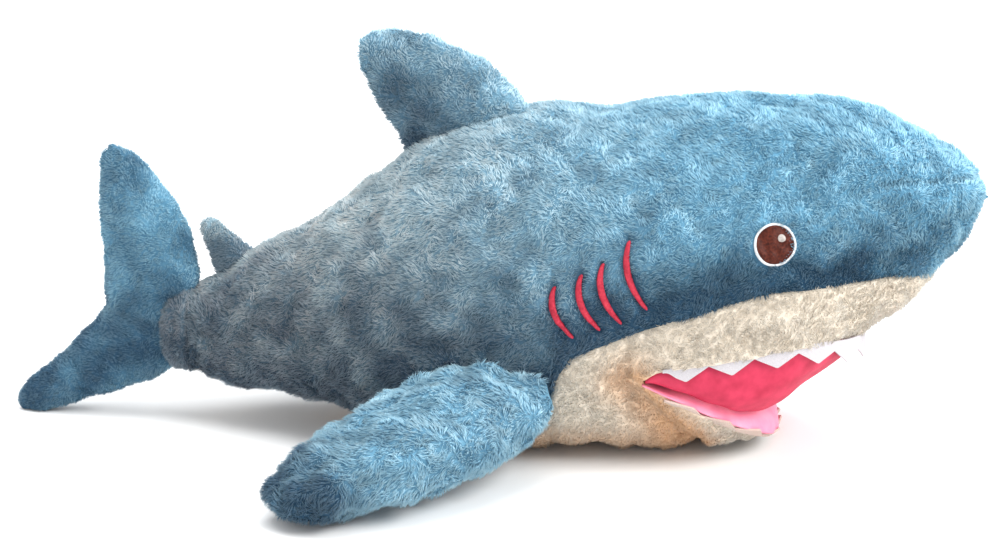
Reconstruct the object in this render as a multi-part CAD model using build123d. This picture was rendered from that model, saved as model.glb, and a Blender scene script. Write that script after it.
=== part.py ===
"""Large plush shark, about one metre from nose to tail, lying on its belly.

Row frame: +X to the nose, +Y to the shark's left, +Z up, origin under the middle of the whole shark
on the surface that it lies on. Millimetres. The shark is built as it is sewn: fur panels over a
filling, with the lower jaw, four fins and the tail as stuffed parts of their own.
"""
import math
import os

from build123d import *

os.makedirs("parts", exist_ok=True)

# ---- driving dimensions -------------------------------------------------------------------------
PILE = 6.0                 # thickness of the fur fabric with its pile
LINING = 4.0               # thickness of the padded mouth lining
FELT = 2.0                 # thickness of the felt teeth
THREAD = 1.5               # how far embroidery stands in and out of the fur
GAP = 0.8                  # air between a skin and its filling
JOINT_GAP = 0.6            # air between bodies that turn on each other
FIN_GAP = 9.0              # air under a stuffed fin's root, so that it can lean

# Trunk stations, tail to nose: x, top, bottom, half width, height of the widest point as a share.
# The weight flattens what would hang below the floor.
TRUNK = [
    (-345, 146, 58, 30, 0.50),
    (-309, 149, 50, 41, 0.50),
    (-280, 160, 43, 50, 0.50),
    (-240, 185, 36, 64, 0.48),
    (-195, 207, 30, 80, 0.47),
    (-150, 236, 22, 97, 0.46),
    (-98, 272, 7, 120, 0.46),
    (-50, 311, -3, 136, 0.46),
    (0, 332, -3, 146, 0.46),
    (60, 339, -3, 151, 0.46),
    (150, 346, -3, 152, 0.46),
    (220, 352, -3, 147, 0.46),
    (297, 355, 8, 134, 0.48),
    (346, 351, 66, 119, 0.52),
    (395, 341, 116, 99, 0.55),
    (439, 325, 151, 74, 0.56),
    (474, 304, 190, 49, 0.56),
    (495, 284, 224, 27, 0.56),
    (503, 262, 252, 9, 0.56),
]
UPPER_POWER = 2.1          # roundness of a trunk section above and below its widest point
LOWER_POWER = 2.5
SECTION_POINTS = 20

# Mouth: the jaw turns about a line across the corners of the mouth.
JAW_PIVOT = (168.0, 97.0)  # x, z
JAW_TIP = (312.0, 18.0)    # x, z of the lower rim at the front
LIP = [(168, 102), (200, 114), (245, 123), (290, 129), (335, 131), (375, 126), (420, 118)]
KEEL = [(178, 96), (205, 81), (240, 62), (272, 48), (300, 54), (335, 76), (366, 104)]
PALATE_HALF_WIDTH = 112.0

# Line where the blue back meets the cream belly, seen from the side.
BORDER = [
    (-330, 60), (-240, 45), (-150, 38), (-60, 30), (30, 20), (62, 30), (78, 62), (86, 98),
    (104, 123), (140, 140), (182, 156), (218, 167), (254, 178), (294, 188), (371, 190), (440, 191), (520, 188),
]

# Tail joint: an upright line inside the tail stalk.
TAIL_PIVOT_X = -345.0
TAIL_BALL = 62.0           # radius of the round face between trunk and tail

# A stuffed fin: root, tip, chord direction and rows of
# (share of the span, lead of the chord, trail of the chord, half thickness).
PECTORAL = dict(
    root=(48, -116, 80), tip=(-160, -287, 24), chord=(0.62, -0.78, 0),
    rows=[(0, 60, 62, 38), (0.1, 70, 68, 44), (0.3, 78, 72, 46), (0.5, 76, 68, 42),
          (0.7, 65, 59, 36), (0.85, 50, 46, 29), (0.93, 38, 35, 23), (0.98, 22, 20, 14), (1, 6, 6, 5)],
)
DORSAL = dict(
    root=(-25, 0, 300), tip=(-116, 0, 407), chord=(1, 0, 0.25),
    rows=[(0, 84, 56, 32), (0.15, 84, 48, 30), (0.35, 79, 40, 27), (0.55, 65, 33, 23),
          (0.75, 49, 28, 19), (0.9, 34, 22, 15), (0.97, 20, 14, 9), (1, 6, 6, 4)],
)
SECOND_DORSAL = dict(
    root=(-262, 0, 162), tip=(-294, 0, 216), chord=(1, 0, 0.3),
    rows=[(0, 30, 22, 13), (0.4, 22, 16, 11), (0.7, 14, 11, 9), (0.9, 8, 8, 6), (1, 3, 3, 3)],
)
TAIL_UPPER = dict(
    root=(-337, 0, 100), tip=(-384, 0, 295), chord=(1, 0, 0.2),
    rows=[(0, 46, 38, 30), (0.15, 52, 42, 29), (0.3, 48, 44, 26), (0.6, 36, 36, 21),
          (0.85, 21, 22, 15), (0.95, 13, 14, 10), (1, 3, 3, 3)],
)
TAIL_LOWER = dict(
    root=(-335, 0, 108), tip=(-503, 0, 12), chord=(0.5, 0, -0.85),
    rows=[(0, 46, 40, 30), (0.2, 53, 40, 29), (0.4, 46, 35, 26), (0.6, 34, 29, 22),
          (0.8, 24, 22, 17), (0.92, 17, 16, 12), (0.98, 9, 9, 7), (1, 3, 3, 3)],
)

# Face and gills, given on one side and mirrored to the other.
EYE = (288.0, 234.0)       # x, z
EYE_RING_RADIUS = 19.5
EYE_IRIS_RADIUS = 17.0
EYE_GLINT_RADIUS = 4.0
EYE_GLINT_SHIFT = (6.0, 6.0)
GILLS = [(84, 194, 50), (109, 206, 54), (129, 217, 58), (153, 238, 65)]  # x, z of the top, height
GILL_LEAN = 18.0           # how far forward the lower end lies
GILL_BOW = 4.0             # how far back the middle lies
GILL_WIDTH = 7.0
TOOTH_COUNT = 6            # upper teeth on each side
TOOTH_HEIGHT = 18.0
TOOTH_BAND = 3.0
LOWER_TOOTH_COUNT = 4
LOWER_TOOTH_HEIGHT = 11.0
LOWER_TEETH_SPAN = (205, 298)  # x from the first lower tooth to the front one
UPPER_TEETH_SPAN = (176, 376)

FAR = 1500.0               # larger than the shark


# ---- helpers ------------------------------------------------------------------------------------
def between(rows, x, column):
    """Linear reading of one column of a table of rows that start with x."""
    for low, high in zip(rows, rows[1:]):
        if low[0] <= x <= high[0]:
            share = (x - low[0]) / (high[0] - low[0])
            return low[column] + share * (high[column] - low[column])
    raise ValueError(f"{x} lies outside the table")


def signed_power(value, power):
    return math.copysign(abs(value) ** power, value)


def trunk_section(station, inset):
    """One closed cross-section of the trunk, drawn in by inset."""
    x, top, bottom, half_width, share = station
    top, bottom, half_width = top - inset, bottom + inset, half_width - inset
    widest = bottom + share * (top - bottom)
    points = []
    for i in range(SECTION_POINTS):
        angle = 2 * math.pi * (i + 0.5) / SECTION_POINTS
        power = 2 / (UPPER_POWER if math.sin(angle) > 0 else LOWER_POWER)
        reach = top - widest if math.sin(angle) > 0 else widest - bottom
        y = half_width * signed_power(math.cos(angle), power)
        z = widest + reach * signed_power(math.sin(angle), power)
        points.append((x, y, z))
    return make_face(Spline(*points, periodic=True))


def trunk_solid(inset):
    """The whole closed outer form of trunk, head and jaw, drawn in by inset."""
    stations = [s for s in TRUNK if s[3] > inset + 2 and s[1] - s[2] > 2 * inset + 2]
    return loft([trunk_section(s, inset) for s in stations], ruled=False)


def outline_at(x, z, inset):
    """Half width of the trunk's outer form at a height, drawn in by inset."""
    top, bottom, half_width, share = (between(TRUNK, x, i) for i in (1, 2, 3, 4))
    widest = bottom + share * (top - bottom)
    reach, power = (top - widest, UPPER_POWER) if z > widest else (widest - bottom, LOWER_POWER)
    height = min(abs(z - widest) / reach, 1)
    return max(half_width * (1 - height ** power) ** (1 / power) - inset, 0)


def side_prism(points):
    """A slab across the whole width with the given outline in the X-Z plane."""
    outline = make_face(Polyline(*[(x, -FAR, z) for x, z in points], close=True))
    return extrude(outline, amount=2 * FAR, dir=(0, 1, 0))


def below_curve(points, floor=-FAR):
    """The space below a smooth line drawn in the X-Z plane."""
    line = Spline(*[(x, -FAR, z) for x, z in points])
    first, last = points[0], points[-1]
    rest = Polyline((last[0], -FAR, last[1]), (last[0], -FAR, floor),
                    (first[0], -FAR, floor), (first[0], -FAR, first[1]))
    return extrude(make_face(line + rest), amount=2 * FAR, dir=(0, 1, 0))


def above_floor(shape):
    """The shape with its underside pressed flat on the floor."""
    return shape - Pos(0, 0, -FAR / 2) * Box(2 * FAR, 2 * FAR, FAR)


def upright_cylinder(x, radius):
    return Pos(x, 0, 0) * Cylinder(radius, FAR)


def half_space(side):
    """Everything on the left (+1) or right (-1) of the middle plane."""
    return Pos(0, side * FAR / 2, 0) * Box(2 * FAR, FAR, 2 * FAR)


def fin_solid(fin, inset):
    """A stuffed fin: oval sections strung along its span, drawn in by inset."""
    root, tip = Vector(*fin["root"]), Vector(*fin["tip"])
    span = tip - root
    along = span.normalized()
    chord = Vector(*fin["chord"])
    chord = (chord - along * chord.dot(along)).normalized()
    faces = []
    for share, lead, trail, half_thickness in fin["rows"]:
        length, thickness = (lead + trail) / 2 - inset, half_thickness - inset
        if length < 1.5 or thickness < 1.5:
            continue
        middle = root + span * share + chord * ((lead - trail) / 2)
        faces.append(Plane(origin=middle, x_dir=chord, z_dir=along) * Ellipse(length, thickness))
    return loft(faces, ruled=False)


def mirrored(shape):
    return mirror(shape, about=Plane.XZ)


def solids_of(shape):
    """A flat list of the solids in a shape or a list of shapes."""
    return list(ShapeList(shape).solids()) if isinstance(shape, list) else list(shape.solids())


def largest(shape):
    return max(shape.solids(), key=lambda s: s.volume)


def write(node, shape):
    """One STEP file with the node's solids."""
    solids = solids_of(shape)
    export_step(solids[0] if len(solids) == 1 else Compound(children=solids), f"parts/{node}.step")


# ---- trunk, head and jaw ------------------------------------------------------------------------
pivot_x, pivot_z = JAW_PIVOT
outer = above_floor(trunk_solid(0))
inner = trunk_solid(PILE)
filling = trunk_solid(PILE + GAP)
tail_cut = upright_cylinder(TAIL_PIVOT_X, TAIL_BALL + JOINT_GAP)
behind_tail = Pos(TAIL_PIVOT_X - FAR / 2, 0, 0) * Box(FAR, 2 * FAR, 2 * FAR)
ahead_of_throat = Pos(pivot_x + FAR / 2, 0, 0) * Box(FAR, 2 * FAR, 2 * FAR)
mouth = below_curve(LIP) & ahead_of_throat
belly_side = below_curve(BORDER)

trunk_skin = largest(outer - inner - tail_cut - behind_tail - mouth)


# ---- embroidery, sunk into the fur on each side -------------------------------------------------
def surface_point(x, z):
    """A point of the right side of the trunk's outer form, and the direction out of it."""
    step = 2.0
    here = Vector(x, -outline_at(x, z, 0), z)
    ahead = Vector(x + step, -outline_at(x + step, z, 0), z)
    above = Vector(x, -outline_at(x, z + step, 0), z + step)
    return here, (ahead - here).cross(above - here).normalized()


embroidery_layer = trunk_solid(-THREAD) - trunk_solid(THREAD)
eye_middle, eye_out = surface_point(*EYE)
eye_plane = Plane(origin=eye_middle, x_dir=(1, 0, 0), z_dir=eye_out)


def eye_disc(radius, shift=(0, 0)):
    disc = eye_plane * Pos(shift[0], shift[1], 0) * Cylinder(radius, 60)
    return largest(embroidery_layer & disc)


def gill_stripe(x, z, height):
    """A crescent of satin stitch, pointed at both ends."""
    top, end = (x, z), (x + GILL_LEAN, z - height)
    middle = (x - GILL_BOW, z - 0.45 * height)
    places = [[(px + shift, -FAR / 2, pz) for px, pz in (top, middle, end)] for shift in (0, 0)]
    places[1][1] = (middle[0] + GILL_WIDTH, -FAR / 2, middle[1] + 1)
    outline = [ThreePointArc(*line) for line in places]
    bar = extrude(make_face(outline[0] + outline[1]), amount=FAR / 2, dir=(0, 1, 0))
    return largest(embroidery_layer & bar)


iris_and_ring = eye_disc(EYE_RING_RADIUS)
iris_and_glint = eye_disc(EYE_IRIS_RADIUS)
glint = eye_disc(EYE_GLINT_RADIUS, EYE_GLINT_SHIFT)
gills = [gill_stripe(*g) for g in GILLS]
write("eye_rings", [largest(iris_and_ring - iris_and_glint), mirrored(largest(iris_and_ring - iris_and_glint))])
write("eye_irises", [largest(iris_and_glint - glint), mirrored(largest(iris_and_glint - glint))])
write("eye_glints", [glint, mirrored(glint)])
write("gill_stripes_right", gills)
write("gill_stripes_left", [mirrored(g) for g in gills])
for patch in [iris_and_ring] + gills:
    trunk_skin = trunk_skin - patch - mirrored(patch)

upper_skin = largest(trunk_skin - belly_side)
cream_skin = trunk_skin & belly_side
for name, side in (("upper_skin_left", 1), ("upper_skin_right", -1)):
    write(name, largest(upper_skin & half_space(side)))
write("snout_skin", largest(cream_skin & ahead_of_throat))
write("belly_skin", largest(cream_skin - ahead_of_throat))
write("trunk_filling", largest(filling - tail_cut - behind_tail - mouth))


def palate_section(x):
    """Half-round section of the padded palate, flat under the head's filling."""
    keel = between(KEEL, x, 1)
    top = between(LIP, x, 1) - GAP
    share = (KEEL[-1][0] + 14 - x) / (KEEL[-1][0] + 14 - KEEL[0][0])
    half_width = PALATE_HALF_WIDTH * math.sqrt(1 - (1 - share) ** 2)
    points = []
    for i in range(9):
        angle = math.pi * i / 8
        points.append((x, half_width * math.cos(angle), top - (top - keel) * math.sin(angle)))
    arc = Spline(*points)
    lid = Line(points[-1], points[0])
    return make_face(arc + lid)


write("palate_lining", loft([palate_section(x) for x, _ in KEEL], ruled=False))

# The jaw is the part of the same outer form that lies below its rim, ahead of the throat.
jaw_back = pivot_x + JOINT_GAP
rim = [(jaw_back, pivot_z - 2), JAW_TIP]


def below_rim(drop):
    """The space under the jaw's rim, lowered by drop, ahead of the throat."""
    slope = [(x, z - drop) for x, z in rim]
    return side_prism(slope + [(JAW_TIP[0], -FAR), (jaw_back, -FAR)])


jaw_body = largest(outer & below_rim(0))
write("jaw_skin", largest(jaw_body - inner))
write("jaw_lining", largest((jaw_body & inner) - below_rim(LINING)))
write("jaw_filling", largest(filling & below_rim(LINING + GAP)))


# ---- teeth: felt strips with a zigzag edge ------------------------------------------------------
def zigzag(path, height, band):
    """A strip of felt standing on a path of upright planes, one tooth on each side of a bend."""
    strip = None
    for start, end in zip(path, path[1:]):
        start, end = Vector(*start), Vector(*end)
        along = Vector(end.X - start.X, end.Y - start.Y, 0).normalized()
        across = Vector(-along.Y, along.X, 0)
        lift = Vector(0, 0, 1)
        reach = 0.6 * along
        corners = [start - reach + lift * band, end + reach + lift * band, end + reach,
                   (start + end) * 0.5 + lift * height, start - reach]
        tooth = extrude(make_face(Polyline(*corners, close=True)), amount=FELT, dir=across)
        strip = tooth if strip is None else strip + tooth
    return strip


def lip_path(count, line, first, last, inset, drop):
    """Points round the mouth, corner to corner, evenly spaced along the lip line."""
    fine = [first + (last - first) * math.sin(math.pi / 2 * i / 200) for i in range(201)]
    side = [Vector(x, outline_at(x, between(line, x, 1), inset), between(line, x, 1) + drop) for x in fine]
    lengths = [0.0]
    for a, b in zip(side, side[1:]):
        lengths.append(lengths[-1] + (b - a).length)
    total = lengths[-1] + side[-1].Y
    right = []
    for k in range(count):
        want = total * k / count
        i = min(range(len(lengths)), key=lambda j: abs(lengths[j] - want))
        right.append((side[i].X, -side[i].Y, side[i].Z))
    front = (side[-1].X, 0.0, side[-1].Z)
    return right + [front] + [(x, -y, z) for x, y, z in reversed(right)]


upper_path = lip_path(TOOTH_COUNT, LIP, *UPPER_TEETH_SPAN, PILE + FELT, -GAP - TOOTH_BAND)
write("upper_teeth", zigzag(upper_path, -TOOTH_HEIGHT, TOOTH_BAND))
lower_path = lip_path(LOWER_TOOTH_COUNT, rim[:2], *LOWER_TEETH_SPAN, PILE + LINING, LINING + TOOTH_BAND)
write("lower_teeth", zigzag(lower_path, LOWER_TOOTH_HEIGHT, -TOOTH_BAND))


# ---- fins and tail ------------------------------------------------------------------------------
def write_fin(name, fin, cut, cutter_halves, tags):
    """Two fur panels sewn edge to edge round one filling."""
    skin = fin_solid(fin, 0) - fin_solid(fin, PILE) - cut
    for tag, half in zip(tags, cutter_halves):
        write(f"{name}_{tag}", largest(skin & half))
    write(f"{name}_filling", largest(fin_solid(fin, PILE + GAP) - cut))


room = trunk_solid(-FIN_GAP)
sides = (half_space(1), half_space(-1))
write_fin("dorsal_fin", DORSAL, room, sides, ("left", "right"))
write_fin("second_dorsal_fin", SECOND_DORSAL, room, sides, ("left", "right"))


def pectoral_halves():
    """The space above and below the middle sheet of the right pectoral fin."""
    root, tip = Vector(*PECTORAL["root"]), Vector(*PECTORAL["tip"])
    along, chord = (tip - root).normalized(), Vector(*PECTORAL["chord"])
    chord = (chord - along * chord.dot(along)).normalized()
    up = along.cross(chord)
    if up.Z < 0:
        up = -up
    sheet = Plane(origin=root, x_dir=chord, z_dir=up)
    return [sheet * Pos(0, 0, side * FAR / 2) * Box(FAR, FAR, FAR) for side in (1, -1)]


upper_half, lower_half = pectoral_halves()
right_skin = fin_solid(PECTORAL, 0) - fin_solid(PECTORAL, PILE) - room
right_pieces = {
    "upper": largest(right_skin & upper_half),
    "lower": largest(right_skin & lower_half),
    "filling": largest(fin_solid(PECTORAL, PILE + GAP) - room),
}
for tag, piece in right_pieces.items():
    write(f"pectoral_fin_right_{tag}", piece)
    write(f"pectoral_fin_left_{tag}", mirrored(piece))

# The tail turns on an upright line, so its front face is part of a drum round that line.
drum = upright_cylinder(TAIL_PIVOT_X, TAIL_BALL)


def tail_form(inset):
    """Tail stalk and both lobes of the tail fin as one closed form, drawn in by inset."""
    stalk = trunk_solid(inset) & drum
    return largest(stalk + fin_solid(TAIL_UPPER, inset) + fin_solid(TAIL_LOWER, inset))


tail_skin = tail_form(0) - tail_form(PILE)
write("tail_fin_left", largest(tail_skin & sides[0]))
write("tail_fin_right", largest(tail_skin & sides[1]))
write("tail_filling", tail_form(PILE + GAP))
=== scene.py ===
"""The looks of the plush shark: fur panels with real pile, linings, felt teeth and embroidery."""
import math

import bpy
import numpy as np
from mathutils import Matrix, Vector
from mathutils.kdtree import KDTree


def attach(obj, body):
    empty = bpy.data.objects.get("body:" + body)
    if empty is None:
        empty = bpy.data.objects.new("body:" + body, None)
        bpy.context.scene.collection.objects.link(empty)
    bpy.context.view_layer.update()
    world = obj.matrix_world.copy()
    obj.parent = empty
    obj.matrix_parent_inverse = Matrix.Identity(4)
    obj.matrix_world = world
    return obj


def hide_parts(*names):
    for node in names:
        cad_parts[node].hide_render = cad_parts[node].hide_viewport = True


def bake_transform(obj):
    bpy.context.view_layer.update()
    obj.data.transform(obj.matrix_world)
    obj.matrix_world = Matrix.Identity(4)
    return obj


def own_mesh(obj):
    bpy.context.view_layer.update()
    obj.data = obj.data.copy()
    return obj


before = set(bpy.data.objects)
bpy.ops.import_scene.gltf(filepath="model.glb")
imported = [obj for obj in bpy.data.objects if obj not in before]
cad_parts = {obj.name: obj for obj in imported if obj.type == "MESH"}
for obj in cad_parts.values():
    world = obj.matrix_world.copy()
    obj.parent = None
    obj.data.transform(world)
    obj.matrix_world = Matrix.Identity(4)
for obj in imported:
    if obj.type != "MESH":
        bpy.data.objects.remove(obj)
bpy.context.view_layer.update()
MM = 0.001
SIDES = (("left", 1), ("right", -1))

# ---- the shark's form, in millimetres -----------------------------------------------------------
# Trunk stations, tail to nose: x, top, bottom, half width, height of the widest point as a share.
TRUNK = [
    (-345, 146, 58, 30, 0.50),
    (-309, 149, 50, 41, 0.50),
    (-280, 160, 43, 50, 0.50),
    (-240, 185, 39, 64, 0.48),
    (-195, 207, 34, 80, 0.47),
    (-150, 236, 26, 97, 0.46),
    (-98, 272, 7, 120, 0.46),
    (-50, 311, -3, 136, 0.46),
    (0, 332, -3, 146, 0.46),
    (60, 339, -3, 151, 0.46),
    (150, 346, -3, 152, 0.46),
    (220, 352, -3, 147, 0.46),
    (297, 355, 8, 134, 0.48),
    (346, 351, 66, 119, 0.52),
    (390, 342, 118, 101, 0.55),
    (439, 325, 159, 74, 0.56),
    (474, 304, 206, 49, 0.56),
    (492, 288, 235, 31, 0.56),
    (501, 272, 249, 15, 0.56),
    (505, 260, 256, 1, 0.56),
]
UPPER_POWER = 2.1
LOWER_POWER = 2.5
JAW_PIVOT = (168.0, 97.0)      # x, z
JAW_TIP = (312.0, 18.0)
# Upper lip, keel of the mouth's roof, and border between the blue and the cream: x, z.
LIP = [
    (168, 98), (180, 107), (194, 112), (226, 117), (271, 124), (310, 130), (336, 131), (369, 126), (396, 121),
]
KEEL = [
    (172, 95), (205, 79), (240, 62), (266, 51), (286, 47), (303, 51), (335, 72), (364, 95), (396, 118),
]
LIP_FRONT = 394.0
BORDER = [
    (-330, 56), (-240, 38), (-150, 28), (-60, 20), (30, 16), (62, 30), (78, 62), (86, 98),
    (104, 123), (140, 140), (182, 156), (218, 167), (254, 178), (294, 188), (371, 190), (440, 191), (520, 188),
]

# Fins: their axis from root to tip, the way their chord runs, and rows of share of the way to the tip, reach of the
# leading edge, reach of the trailing edge, half thickness.
PECTORAL = dict(
    root=(48, -116, 80), tip=(-160, -287, 24), chord=(0.62, -0.78, 0),
    rows=[(0, 60, 62, 38), (0.1, 70, 68, 44), (0.3, 78, 72, 46), (0.5, 76, 68, 42),
          (0.7, 65, 59, 36), (0.85, 50, 46, 29), (0.93, 38, 35, 23), (0.98, 22, 20, 14), (1, 6, 6, 5)],
)
DORSAL = dict(
    root=(-25, 0, 300), tip=(-116, 0, 407), chord=(1, 0, 0.25),
    rows=[(0, 84, 56, 32), (0.15, 84, 48, 30), (0.35, 79, 40, 27), (0.55, 65, 33, 23),
          (0.75, 49, 28, 19), (0.9, 34, 22, 15), (0.97, 20, 14, 9), (1, 6, 6, 4)],
)
SECOND_DORSAL = dict(
    root=(-260, 0, 162), tip=(-289, 0, 217), chord=(1, 0, 0.3),
    rows=[(0, 32, 22, 13), (0.4, 24, 17, 11), (0.7, 17, 13, 9), (0.9, 11, 10, 7), (1, 4, 4, 3)],
)
TAIL_UPPER = dict(
    root=(-337, 0, 100), tip=(-384, 0, 295), chord=(1, 0, 0.2),
    rows=[(0, 44, 58, 24), (0.15, 50, 58, 26), (0.3, 54, 52, 27), (0.5, 54, 40, 25), (0.7, 44, 31, 22),
          (0.85, 31, 22, 17), (0.95, 17, 14, 11), (1, 3, 3, 3)],
)
TAIL_LOWER = dict(
    root=(-335, 0, 108), tip=(-507, 0, 4), chord=(0.5, 0, -0.85),
    rows=[(0, 46, 54, 24), (0.2, 50, 49, 26), (0.4, 44, 36, 26), (0.6, 34, 26, 22),
          (0.8, 24, 20, 18), (0.92, 18, 16, 13), (0.98, 10, 10, 7), (1, 3, 3, 3)],
)

EYE = (288.0, 234.0)
EYE_RING_RADIUS = 20.0
EYE_IRIS_RADIUS = 18.2
EYE_GLINT_RADIUS = 3.6
EYE_GLINT_SHIFT = (6.0, 6.0)
GILLS = [(84, 194, 50), (109, 206, 54), (129, 217, 58), (153, 238, 65)]
GILL_LEAN = 18.0
GILL_BOW = 10.0
GILL_WIDTH = 6.4

# Darts, folds and partings of the trunk's right side, as lines of points.
NOSE_DART = [(392, -92, 285), (436, -70, 284), (482, -36, 282), (503, 0, 276)]
THROAT_FOLD = [
    (157, -146, 97), (168, -141, 82), (187, -128, 58), (204, -117, 44), (215, -107, 35), (228, -85, 18),
    (232, -50, 2),
]
PARTING = [(16, -96, 294), (19, -131, 243), (25, -146, 190)]
PUCKER_X = (60, 165)

TRUNK_BACK, TRUNK_FRONT = -306.0, 505.0
STALK_BACK, STALK_FRONT, STALK_INSIDE = -343.0, -316.0, -280.0
STALK_SEAM = -318.0
FABRIC = 4.0              # thickness of the cloth with its underfur
SNOUT_FABRIC = 5.0
PILE_STAND = 3.5          # how far the cloth lies below the fur's outer surface
CLOTH_CLEARANCE = 0.6     # above the floor
FLOOR_CLEARANCE = 0.5
JAW_LIP_DROP = 4.0
TOOTH_HIDDEN = 3.0        # sewn in behind the lip
# How far the valleys between the teeth lie from the lip: share of the way from corner to front, reach.
UPPER_BAND = [(0, 0.3), (0.3, 1.0), (0.45, 3.2), (0.6, 6.5), (0.75, 10.0), (1, 12.0)]
LOWER_BAND = [(0, 0.6), (1, 0.6)]

# Per-point paints: the first makes the blue greyer towards the tail, the second is painted shade with random
# blotches, the third is painted tan shade in folds and underneath.
TINTS = ("greyed", "low", "painted_tan_shade")
BLOTCH_DEPTH = 0.13

# ---- arithmetic ---------------------------------------------------------------------------------
def smooth(rows, column, x):
    """Monotone cubic reading of one column of a table of rows that start with x."""
    t = np.array([row[0] for row in rows], float)
    v = np.array([row[column] for row in rows], float)
    slope = np.diff(v) / np.diff(t)
    tangent = np.zeros_like(v)
    product = slope[:-1] * slope[1:]
    rising = product > 0
    tangent[1:-1][rising] = 2 * product[rising] / (slope[:-1] + slope[1:])[rising]
    tangent[0], tangent[-1] = slope[0], slope[-1]
    x = np.asarray(x, float)
    i = np.clip(np.searchsorted(t, x) - 1, 0, len(t) - 2)
    h = t[i + 1] - t[i]
    s = (x - t[i]) / h
    return ((2 * s**3 - 3 * s**2 + 1) * v[i] + (s**3 - 2 * s**2 + s) * h * tangent[i]
            + (3 * s**2 - 2 * s**3) * v[i + 1] + (s**3 - s**2) * h * tangent[i + 1])


def unit(v):
    return v / np.maximum(np.linalg.norm(v, axis=-1, keepdims=True), 1e-12)


class Waves:
    """Smooth seeded noise: a sum of waves in all directions, between about -1 and 1."""

    def __init__(self, seed, wavelength, count=24):
        draw = np.random.default_rng(seed)
        direction = unit(draw.normal(size=(count, 3)))
        self.k = direction * (2 * math.pi / (wavelength * draw.uniform(0.6, 1.6, (count, 1))))
        self.phase = draw.uniform(0, 2 * math.pi, count)
        self.scale = math.sqrt(2 / count)

    def __call__(self, points):
        flat = points.reshape(-1, 3)
        total = np.zeros(len(flat))
        for k, phase in zip(self.k, self.phase):
            total += np.sin(flat @ k + phase)
        return (total * self.scale).reshape(points.shape[:-1])


def groove(distance, width, depth):
    return -depth * np.exp(-(distance / width) ** 2)


def polyline_distance(points, line):
    """Distance of each point from a polyline."""
    line = np.array(line, float)
    best = np.full(points.shape[:-1], 1e9)
    for a, b in zip(line, line[1:]):
        share = np.clip(((points - a) @ (b - a)) / ((b - a) @ (b - a)), 0, 1)
        best = np.minimum(best, np.linalg.norm(points - (a + share[..., None] * (b - a)), axis=-1))
    return best


# ---- surfaces -----------------------------------------------------------------------------------
def trunk_shape(x):
    top, bottom, half, share = (smooth(TRUNK, column, x) for column in (1, 2, 3, 4))
    return top, bottom, half, bottom + share * (top - bottom)


def trunk_points(x, angle, side):
    """Points of the trunk's form: angle from -90 degrees, the belly line, to 90, the back line."""
    top, bottom, half, widest = trunk_shape(x)
    s, c = np.sin(angle), np.cos(angle)
    above = s > 0
    power = 2 / np.where(above, UPPER_POWER, LOWER_POWER)
    y = side * half * np.abs(c) ** power
    z = widest + np.where(above, top - widest, widest - bottom) * np.sign(s) * np.abs(s) ** power
    return np.stack(np.broadcast_arrays(x, y, z), axis=-1)


def angle_at(x, z):
    """The angle at which the trunk's form stands at height z."""
    top, bottom, _, widest = trunk_shape(x)
    above = z > widest
    reach = np.where(above, top - widest, widest - bottom)
    power = np.where(above, UPPER_POWER, LOWER_POWER) / 2
    share = np.clip(np.abs(z - widest) / reach, 0, 1) ** power
    return np.where(above, 1, -1) * np.arcsin(share)


def grid_normals(grid, outward):
    """Unit normals of a grid of points, turned to the side on which outward lies."""
    along = np.gradient(grid, axis=0)
    across = np.gradient(grid, axis=1)
    normal = unit(np.cross(along, across))
    sign = np.sign(np.sum(normal * outward))
    return normal * (sign if sign else 1)


# ---- meshes -------------------------------------------------------------------------------------
def add_to_scene(name, data):
    thing = bpy.data.objects.new(name, data)
    bpy.context.scene.collection.objects.link(thing)
    return thing


def make_object(name, vertices, faces, materials, smooth_faces=True, paint=None):
    """A mesh object from points in millimetres and a list of face index arrays."""
    mesh = bpy.data.meshes.new(name)
    mesh.from_pydata((np.asarray(vertices) * MM).tolist(), [], [list(map(int, f)) for f in faces])
    mesh.polygons.foreach_set("use_smooth", [smooth_faces] * len(mesh.polygons))
    for material in materials:
        mesh.materials.append(material)
    mesh.update()
    for label, values in zip(TINTS, (paint or trunk_tint)(np.asarray(vertices, float))):
        set_attribute(mesh, label, values)
    return add_to_scene(name, mesh)


def grid_faces(rows, columns, start=0, flip=False, wrap=False):
    """Quads of a grid of points, row by row."""
    i, j = np.meshgrid(np.arange(rows - 1), np.arange(columns if wrap else columns - 1), indexing="ij")
    k = (j + 1) % columns
    quads = np.stack([i * columns + j, (i + 1) * columns + j, (i + 1) * columns + k, i * columns + k], -1)
    quads = quads.reshape(-1, 4) + start
    return quads[:, ::-1] if flip else quads


def sheet_mesh(grid, normals, thickness):
    """A closed sheet: the grid outside, the same grid drawn in by thickness inside, and its edges."""
    rows, columns, _ = grid.shape
    inner = grid - normals * thickness
    count = rows * columns
    vertices = np.concatenate([grid.reshape(-1, 3), inner.reshape(-1, 3)])
    across = np.cross(grid[1:, :-1] - grid[:-1, :-1], grid[:-1, 1:] - grid[:-1, :-1])
    flip = np.sum(across * normals[:-1, :-1]) < 0
    faces = [grid_faces(rows, columns, 0, flip), grid_faces(rows, columns, count, not flip)]
    ring = [i * columns for i in range(rows)]
    ring += [(rows - 1) * columns + j for j in range(1, columns)]
    ring += [i * columns + columns - 1 for i in range(rows - 2, -1, -1)]
    ring += list(range(columns - 2, 0, -1))
    ring = np.array(ring)
    nxt = np.roll(ring, -1)
    edge = np.stack([ring, nxt, nxt + count, ring + count], -1)
    faces.append(edge[:, ::-1] if not flip else edge)
    return vertices, np.concatenate(faces)


# ---- pile ---------------------------------------------------------------------------------------
class Pile:
    """How the fur of one panel grows."""

    def __init__(self, length=6.5, width=0.62, spacing=1.65, lean=0.68, seed=1, clump=0.4, flow=(-1, 0, -0.15)):
        self.length = length
        self.width = width
        self.spacing = spacing
        self.lean = lean
        self.seed = seed
        self.clump = clump
        self.flow = np.array(flow, float)


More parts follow.
